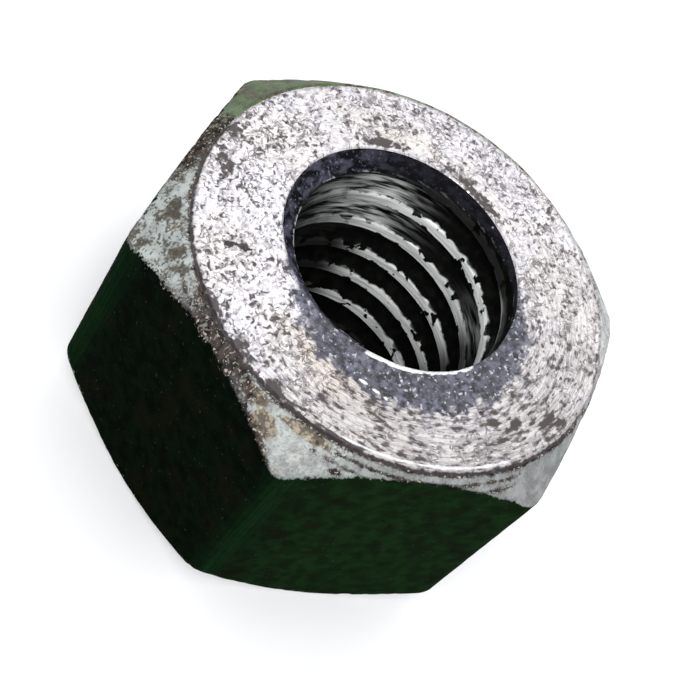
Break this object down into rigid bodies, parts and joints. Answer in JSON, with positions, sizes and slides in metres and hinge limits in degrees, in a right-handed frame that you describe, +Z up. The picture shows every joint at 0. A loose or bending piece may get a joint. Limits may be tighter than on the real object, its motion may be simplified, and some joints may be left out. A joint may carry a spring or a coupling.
{
  "type": "hex nut",
  "caption": "Hexagonal nut with a chamfered rim at both ends and a tapped through bore with countersunk mouths. It screws onto a bolt or stud.",
  "frame": {"origin": "centre of the lower bearing face, on the thread axis", "axes": "+Z up along the thread axis, two corners on the X axis, two flats facing +Y and -Y"},
  "size_m": [0.0148, 0.013, 0.008],
  "materials": {
    "steel": "bright turned end faces with fine pits and stains, dark green-black scale on the flats"
  },
  "bodies": {
    "root": {"nut_body": "steel"}
  },
  "joints": []
}
